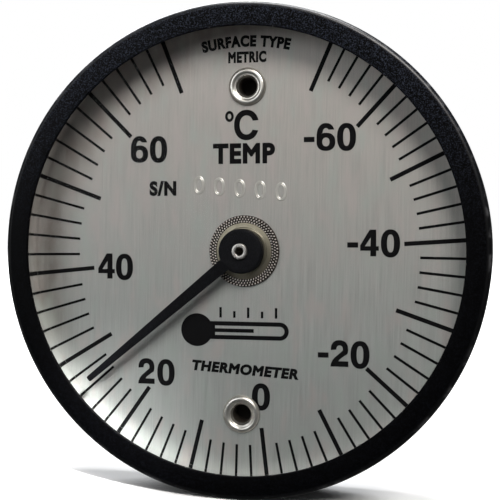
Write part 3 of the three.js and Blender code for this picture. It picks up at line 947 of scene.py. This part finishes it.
open_c = [
    oval(1.34, 1.59, 2.15, start=16, end=340, steps=96)
    + oval(0.73, 0.99, 2.15, start=24, end=331, steps=96)[::-1],
]
FIGURES = {"0": zero, "2": two, "4": four, "6": six, "-": minus, "o": degree, "C": open_c}


def flat_piece(outlines, back_height, front_height, edge_round=0.0):
    """Closed outlines on the face, cut from a sheet between two heights."""
    curve = bpy.data.curves.new("sheet", "CURVE")
    curve.dimensions, curve.fill_mode = "2D", "BOTH"
    curve.extrude = (front_height - back_height) / 2 - edge_round
    curve.bevel_depth, curve.bevel_resolution, curve.offset = edge_round, 2, -edge_round
    for outline in outlines:
        spline = curve.splines.new("POLY")
        spline.points.add(len(outline) - 1)
        for point, (x, y) in zip(spline.points, outline):
            point.co = (x, y, 0, 1)
        spline.use_cyclic_u = True
    carrier = bpy.data.objects.new("sheet", curve)
    scene.collection.objects.link(carrier)
    bm = to_frame(carrier)
    bmesh.ops.translate(bm, vec=at(0, 0, (back_height + front_height) / 2), verts=bm.verts)
    return bm


def moved(outline, x, y, size=1.0):
    return [(x + px * size, y + py * size) for px, py in outline]


# %% Print the numerals
NUMERALS = {
    "60": [("6", -11.60, 10.84), ("0", -9.46, 10.80)],
    "40": [("4", -15.41, -1.71), ("0", -13.35, -1.80)],
    "20": [("2", -10.87, -12.99), ("0", -8.67, -13.08)],
    "0": [("0", 1.78, -15.32)],
    "minus_20": [("-", 8.38, -10.71), ("2", 10.08, -10.51), ("0", 12.20, -10.60)],
    "minus_40": [("-", 11.42, 0.68), ("4", 13.14, 0.89), ("0", 15.28, 0.85)],
    "minus_60": [("-", 6.88, 11.55), ("6", 8.63, 11.78), ("0", 10.76, 11.74)],
    "degrees": [("o", -1.62, 14.13), ("C", 0.22, 13.20)],
}
for name, figures in NUMERALS.items():
    outlines = [moved(o, x, y) for figure, x, y in figures for o in FIGURES[figure]]
    printed(f"numeral_{name}", flat_piece(outlines, dial.front, dial.front + INK))

# %% [markdown]
# ## Small lettering
# The small print is plain words only: what the thing is and how it is used. Blender's own lettering
# is a curve that a bevel makes heavier without upsetting the filling of its corners. Each line is made
# a mesh first, then scaled to the size of its line, and only then placed. The top line follows the
# rim, which is a bend of the finished mesh: distance along the line becomes an angle round the centre.

# %% Print the words


LETTER_SPACING = 1.12


def words(name, text, x, y, width, height, weight, turn=0.0, slant=0.0, bend=None):
    """A line of lettering that fills a width and a height, centred on x, y."""
    curve = bpy.data.curves.new(name, "FONT")
    curve.body, curve.shear, curve.extrude = text, slant, 1.0
    curve.space_character = LETTER_SPACING
    curve.bevel_depth, curve.bevel_resolution = weight, 0
    carrier = bpy.data.objects.new(name, curve)
    scene.collection.objects.link(carrier)
    shown = carrier.evaluated_get(bpy.context.evaluated_depsgraph_get())
    mesh = bpy.data.meshes.new_from_object(shown)
    bpy.data.objects.remove(carrier)
    spots = [v.co.copy() for v in mesh.vertices]
    low = Vector([min(s[i] for s in spots) for i in range(3)])
    high = Vector([max(s[i] for s in spots) for i in range(3)])
    for vertex, spot in zip(mesh.vertices, spots):
        px = ((spot.x - low.x) / (high.x - low.x) - 0.5) * width
        py = ((spot.y - low.y) / (high.y - low.y) - 0.5) * height
        if bend:
            px, py = (bend + py) * math.sin(px / bend), (bend + py) * math.cos(px / bend) - bend
        px, py = px * math.cos(turn) - py * math.sin(turn), px * math.sin(turn) + py * math.cos(turn)
        lift = INK if spot.z > 0 else 0.0
        vertex.co = at(x + px, y + py, dial.front + lift)
    bm = bmesh.new()
    bm.from_mesh(mesh)
    bpy.data.meshes.remove(mesh)
    printed(name, bm)


words("line_temp", "TEMP", -0.07, 10.23, 6.7, 2.15, 0.05)
words("line_number_label", "S/N", -8.97, 6.63, 3.0, 1.6, 0.055)
words("line_surface_type", "SURFACE TYPE", 0.15, 21.95, 9.6, 1.22, 0.058, bend=21.9)
words("line_metric", "METRIC", 0.30, 20.28, 4.1, 1.2, 0.058)
words("line_thermometer", "THERMOMETER", 0.04, -12.5, 11.6, 1.15, 0.06, math.radians(-3.4), 0.12)

# %% [markdown]
# Where the dial has room for a mark, it carries a plain drawing of a thermometer lying on its side: a
# bulb, a tube with its thread of liquid, and a few graduations. It says what the instrument is and
# belongs to nobody.

# %% Print the drawing
TUBE_LENGTH, TUBE_HALF, BULB = 9.0, 0.95, 1.75
MARK_FOOT, MARK_HALF = 1.35, 0.13
drawing_x, drawing_y = -5.2, -8.4
bulb_edge = math.degrees(math.asin(TUBE_HALF / BULB))
body_outline = oval(BULB, BULB, 2.0, start=bulb_edge, end=360 - bulb_edge) + oval(
    TUBE_HALF, TUBE_HALF, 2.0, x=TUBE_LENGTH, start=-90, end=90, steps=48)
slot_outline = oval(0.5, 0.5, 2.0, x=TUBE_LENGTH, start=-90, end=90, steps=40) + [
    (2.0, 0.5), (2.0, 0.2), (6.2, 0.2), (6.2, -0.2), (2.0, -0.2), (2.0, -0.5),
]
marks = [
    [(x - MARK_HALF, MARK_FOOT), (x + MARK_HALF, MARK_FOOT),
     (x + MARK_HALF, MARK_FOOT + rise), (x - MARK_HALF, MARK_FOOT + rise)]
    for x, rise in zip((2.6, 4.1, 5.6, 7.1, 8.6), (1.1, 0.7, 1.1, 0.7, 1.1))
]
printed("thermometer_drawing", flat_piece(
    [moved(o, drawing_x, drawing_y) for o in [body_outline, slot_outline, *marks]],
    dial.front, dial.front + INK,
))

# %% [markdown]
# ## Stamped figures
# The number on the plate is struck with a punch, not printed, and here it is five noughts. A punch
# leaves a groove with a small burr along both sides. The plate is the model's own, so the burr is
# what is built: a strip along each figure's line whose section rises on both edges and falls to the
# plate in the middle.

# %% Strike the noughts
STAMP_PITCH, STAMP_DROP, STAMP_WIDE, STAMP_TALL = 2.22, 0.19, 0.46, 0.80
FIRST_STAMP_X, FIRST_STAMP_Y = -4.97, 6.95
one_side = [(0.05, 0.055), (0.10, 0.05), (0.17, 0.0)]
section = [(-out, lift) for out, lift in one_side[::-1]] + [(0.0, 0.004)] + one_side
burrs = bmesh.new()
for figure in range(5):
    middle_x = FIRST_STAMP_X + STAMP_PITCH * figure
    middle_y = FIRST_STAMP_Y - STAMP_DROP * figure
    loops = []
    for out, lift in section:
        line = oval(STAMP_WIDE + out, STAMP_TALL + out, 2.2, middle_x, middle_y, steps=48)
        loops.append([burrs.verts.new(ON_PLATE @ at(x, y, dial.front + lift)) for x, y in line])
    for one, other in zip(loops, loops[1:] + loops[:1]):
        for i in range(len(one)):
            j = (i + 1) % len(one)
            burrs.faces.new([one[i], one[j], other[j], other[i]])
made("stamped_noughts", burrs, struck_aluminium, "housing", "dial", crease=60)

# %% [markdown]
# ## The pointer and its staff
# The hub is a turned boss with a well rounded edge, and the blade grows out of it level with its top.
# They are one casting, so the two meshes are united by a Boolean rather than left lying in each
# other. Where the blade points at rest is read from the model: it is the way to its farthest corners.

# %% Find where the pointer points
pointer_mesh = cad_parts["pointer"].data
spots = [v.co / MM for v in pointer_mesh.vertices]
blade_length = max(s.z * s.z + s.x * s.x for s in spots) ** 0.5
tips = [s for s in spots if math.hypot(s.x, s.z) > blade_length * 0.995]
rest_bearing = math.atan2(sum(s.x for s in tips), sum(s.z for s in tips))
HUB_REACH = 2.4
near_hub = [s for s in spots if math.hypot(s.x, s.z) < HUB_REACH]
hub_radius = max(math.hypot(s.x, s.z) for s in near_hub)
hub_back, hub_front = min(-s.y for s in near_hub), max(-s.y for s in near_hub)
blade_back, blade_front = min(-s.y for s in tips), max(-s.y for s in tips)
staff = seat("staff")
print(f"the pointer is {blade_length:.2f} mm long, at {math.degrees(rest_bearing) % 360:.1f} degrees")

# %% Make the pointer
HUB_ROUND, ROOT_WIDTH, TIP_WIDTH, TIP_CUT = 0.28, 1.36, 0.62, 0.12
BLADE_ROOT, TIP_NOSE = 1.4, 0.04
hub_mesh = spun(rounded([
    (staff.outer + 0.02, hub_back, 0.03), (hub_radius, hub_back, 0.05),
    (hub_radius, hub_front, HUB_ROUND), (staff.outer + 0.02, hub_front, 0.04),
]), steps=MEDIUM)
blade_outline = [
    (-ROOT_WIDTH / 2, BLADE_ROOT), (ROOT_WIDTH / 2, BLADE_ROOT),
    (TIP_WIDTH / 2, blade_length - TIP_CUT), (TIP_WIDTH / 2 - TIP_NOSE, blade_length - TIP_NOSE),
    (TIP_WIDTH / 2 - TIP_CUT, blade_length), (TIP_CUT - TIP_WIDTH / 2, blade_length),
    (TIP_NOSE - TIP_WIDTH / 2, blade_length - TIP_NOSE),
    (-TIP_WIDTH / 2, blade_length - TIP_CUT),
]
along = (math.sin(rest_bearing), math.cos(rest_bearing))
blade_outline = [(v * along[0] + u * along[1], v * along[1] - u * along[0]) for u, v in blade_outline]
blade_mesh = flat_piece([blade_outline], blade_back, blade_front, 0.05)


def loose(name, bm):
    """A mesh object for the Boolean, in the scene for a moment."""
    bmesh.ops.remove_doubles(bm, verts=bm.verts, dist=1e-7)
    bmesh.ops.recalc_face_normals(bm, faces=bm.faces)
    mesh = bpy.data.meshes.new(name)
    bm.to_mesh(mesh)
    bm.free()
    obj = bpy.data.objects.new(name, mesh)
    scene.collection.objects.link(obj)
    return obj


hub, blade = loose("hub", hub_mesh), loose("blade", blade_mesh)
for obj in (hub, blade):
    obj.data.transform(Matrix.Scale(1 / MM, 4))
union = hub.modifiers.new("union", "BOOLEAN")
union.operation, union.solver, union.object = "UNION", "EXACT", blade
bpy.context.view_layer.update()
united = bpy.data.meshes.new_from_object(hub.evaluated_get(bpy.context.evaluated_depsgraph_get()))
for obj in (hub, blade):
    bpy.data.objects.remove(obj)
united.transform(Matrix.Scale(MM, 4))
pointer_bm = bmesh.new()
pointer_bm.from_mesh(united)
made("pointer_hand", pointer_bm, pointer_black, "movement", "pointer", "pointer", crease=35)

# %% [markdown]
# The staff is a drawn tube. Its end was cut and only roughly cleaned, so its face is a bright ring
# with a soft outer edge round a dark hole.

# %% Make the staff
staff_outline = rounded([
    (staff.inner, staff.back, 0.02), (staff.outer, staff.back, 0.05),
    (staff.outer, staff.front, 0.09), (staff.inner, staff.front, 0.07),
])
made("staff_tube", spun(staff_outline, steps=SMALL), staff_metal, "movement", "staff", "staff")

# %% [markdown]
# ## The parts that keep their shape
# The dial plate and the parts inside the case are right as the model has them: flat, or out of sight.
# They keep their meshes and only take a finish.

# %% Give the model's own parts their finishes
KEPT = {
    "dial_plate": brushed_aluminium, "back_plate": rear_metal, "bushing_nut": brass,
    "upper_spacer_tube": rear_metal, "lower_spacer_tube": rear_metal, "coil_housing": zinc_steel,
    "rear_bearing": brass, "bimetal_coil": bimetal, "coil_anchor_post": brass,
    "thrust_washer": brass, "coil_collet": brass,
}
for node, material in KEPT.items():
    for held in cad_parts[node].material_slots:
        held.material = material
print("kept as modelled:", ", ".join(KEPT))
